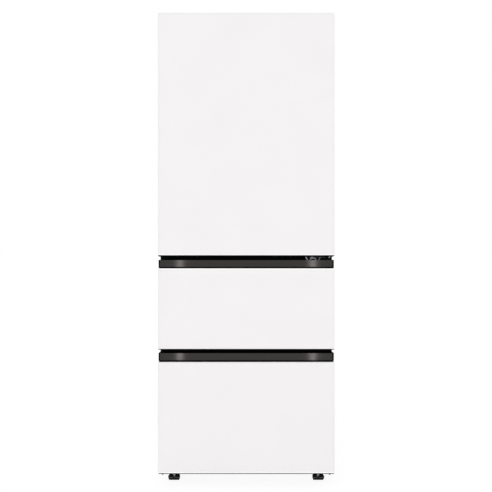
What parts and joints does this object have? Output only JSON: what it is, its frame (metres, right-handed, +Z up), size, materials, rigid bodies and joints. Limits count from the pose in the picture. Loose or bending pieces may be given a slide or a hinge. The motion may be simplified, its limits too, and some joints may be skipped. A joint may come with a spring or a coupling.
{
  "type": "kimchi refrigerator",
  "caption": "Stand-type kimchi refrigerator with a hinged upper door over pull-out drawers, recessed strip handles and plain pale panels.",
  "frame": {"origin": "on the floor, under the middle of the object's outer box", "axes": "+Z up, -Y towards the person who opens the doors, +X to the right of that person looking at it"},
  "size_m": [0.666, 0.737, 1.787],
  "materials": {
    "panel_white": "matte",
    "body_dark": "matte",
    "strip_grey": "satin",
    "trim_black": "matte",
    "front_bar_black": "satin",
    "case_white": "satin",
    "liner_white": "satin",
    "foam": "matte",
    "zinc": "satin",
    "hinge_steel": "satin",
    "steel_grey": "satin",
    "shelf_glass": "gloss",
    "clear_plastic": "gloss",
    "lamp_diffuser": "satin",
    "control_black": "gloss",
    "fin_aluminium": "satin",
    "machine_black": "satin",
    "gasket_grey": "matte",
    "rubber_black": "matte",
    "bin_white": "satin",
    "container_grey": "satin",
    "lid_white": "satin"
  },
  "bodies": {
    "cabinet": {"outer_case": "case_white", "back_panel": "steel_grey", "cabinet_foam": "foam", "upper_liner": "liner_white", "middle_liner": "liner_white", "lower_liner": "liner_white", "upper_mullion": "front_bar_black", "lower_mullion": "front_bar_black", "base_plate": "zinc", "control_board_box": "steel_grey", "top_hinge": "zinc", "top_hinge_cover": "trim_black", "middle_hinge": "hinge_steel", "shelf_1": "shelf_glass", "shelf_2": "shelf_glass", "shelf_3": "shelf_glass", "duct_cover": "liner_white", "evaporator": "fin_aluminium", "lamp_lens": "lamp_diffuser", "control_panel": "control_black", "compressor": "machine_black", "condenser": "fin_aluminium", "fan_shroud": "trim_black", "drip_tray": "trim_black", "machine_cover": "steel_grey", "cord_inlet": "rubber_black", "middle_rail_left": "zinc", "middle_rail_right": "zinc", "lower_rail_left": "zinc", "lower_rail_right": "zinc"},
    "upper_door": {"door_panel": "panel_white", "door_body": "body_dark", "door_liner": "liner_white", "door_gasket": "gasket_grey", "door_bin_1": "clear_plastic", "door_bin_2": "clear_plastic", "door_bin_3": "clear_plastic"},
    "middle_drawer": {"middle_panel": "panel_white", "middle_body": "body_dark", "middle_handle_strip": "strip_grey", "middle_handle_housing": "trim_black", "middle_gasket": "gasket_grey", "middle_slide_frame": "zinc", "middle_bin": "bin_white"},
    "lower_drawer": {"lower_panel": "panel_white", "lower_body": "body_dark", "lower_handle_strip": "strip_grey", "lower_handle_housing": "trim_black", "lower_gasket": "gasket_grey", "lower_slide_frame": "zinc", "lower_bin": "bin_white", "container_left": "container_grey", "container_left_lid": "lid_white", "container_right": "container_grey", "container_right_lid": "lid_white"},
    "fan_rotor": {"condenser_fan": "trim_black"},
    "foot_left": {"front_foot_left": "rubber_black"},
    "foot_right": {"front_foot_right": "rubber_black"},
    "roller_left": {"rear_roller_left": "rubber_black"},
    "roller_right": {"rear_roller_right": "rubber_black"}
  },
  "joints": [
    {"name": "upper_door_hinge", "type": "hinge", "parent": "cabinet", "child": "upper_door", "pos_m": [0.318, -0.3235, 0.8705], "axis": [0, 0, 1], "range_deg": [0, 120]},
    {"name": "middle_drawer_slide", "type": "slide", "parent": "cabinet", "child": "middle_drawer", "axis": [0, -1, 0], "range_m": [0, 0.45]},
    {"name": "lower_drawer_slide", "type": "slide", "parent": "cabinet", "child": "lower_drawer", "axis": [0, -1, 0], "range_m": [0, 0.32]},
    {"name": "condenser_fan_spin", "type": "hinge", "parent": "cabinet", "child": "fan_rotor", "pos_m": [-0.15, 0.266, 0.1719], "axis": [1, 0, 0], "continuous": true},
    {"name": "front_foot_left_turn", "type": "hinge", "parent": "cabinet", "child": "foot_left", "pos_m": [-0.28, -0.274, 0], "axis": [0, 0, 1], "continuous": true},
    {"name": "front_foot_right_turn", "type": "hinge", "parent": "cabinet", "child": "foot_right", "pos_m": [0.28, -0.274, 0], "axis": [0, 0, 1], "continuous": true},
    {"name": "rear_roller_left_spin", "type": "hinge", "parent": "cabinet", "child": "roller_left", "pos_m": [-0.273, 0.3085, 0.02], "axis": [1, 0, 0], "continuous": true},
    {"name": "rear_roller_right_spin", "type": "hinge", "parent": "cabinet", "child": "roller_right", "pos_m": [0.273, 0.3085, 0.02], "axis": [1, 0, 0], "continuous": true}
  ]
}
